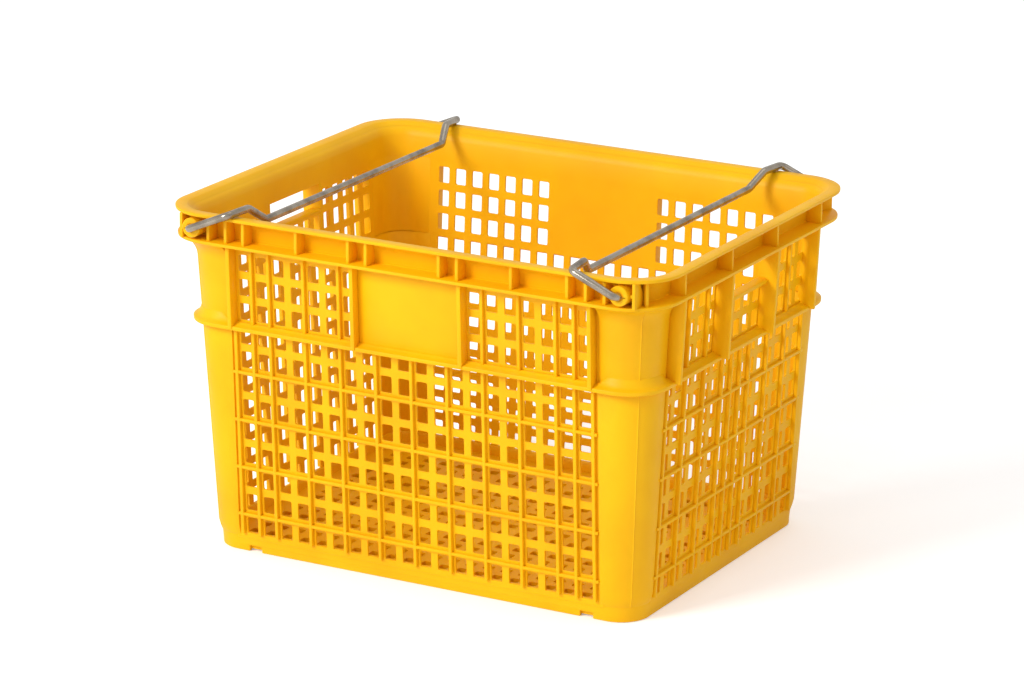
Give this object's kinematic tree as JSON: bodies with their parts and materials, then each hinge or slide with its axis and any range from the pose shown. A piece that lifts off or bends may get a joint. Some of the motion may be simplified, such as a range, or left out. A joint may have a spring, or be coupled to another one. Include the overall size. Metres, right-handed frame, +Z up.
{
  "type": "stacking crate",
  "caption": "Open-lattice moulded plastic stacking crate with rounded corners, a flanged rim, hand holes in its ends and steel wire bails that swing over the rim.",
  "frame": {"origin": "middle of the footprint, on the plane that the feet stand on", "axes": "+X along the long side, towards the end of the bail named right; +Y along the short side, towards the back; +Z up, out of the crate's mouth"},
  "size_m": [0.5, 0.4151, 0.328],
  "materials": {
    "hdpe": "satin moulded polyethylene with a faint sheen",
    "steel_rod": "drawn round bar, dull zinc plating"
  },
  "bodies": {
    "crate": {"floor_plate": "hdpe", "base_band": "hdpe", "foot_front_right": "hdpe", "foot_back_right": "hdpe", "foot_back_left": "hdpe", "foot_front_left": "hdpe", "post_front_right": "hdpe", "post_back_right": "hdpe", "post_back_left": "hdpe", "post_front_left": "hdpe", "skirt_front": "hdpe", "skirt_back": "hdpe", "skirt_right": "hdpe", "skirt_left": "hdpe", "wall_lower_front": "hdpe", "wall_lower_back": "hdpe", "wall_lower_right": "hdpe", "wall_lower_left": "hdpe", "wall_upper_front": "hdpe", "wall_upper_back": "hdpe", "wall_upper_right": "hdpe", "wall_upper_left": "hdpe", "ledge_middle": "hdpe", "flange_lower": "hdpe", "channel_wall": "hdpe", "rim_top": "hdpe", "boss_front_right": "hdpe", "boss_back_right": "hdpe", "boss_back_left": "hdpe", "boss_front_left": "hdpe"},
    "right_bail": {"bail_right": "steel_rod"},
    "left_bail": {"bail_left": "steel_rod"}
  },
  "joints": [
    {"name": "right_bail_swing", "type": "hinge", "parent": "crate", "child": "right_bail", "pos_m": [0.2135, 0, 0.306], "axis": [0, 1, 0], "range_deg": [0, 182]},
    {"name": "left_bail_swing", "type": "hinge", "parent": "crate", "child": "left_bail", "pos_m": [-0.2135, 0, 0.306], "axis": [0, -1, 0], "range_deg": [0, 182]}
  ]
}
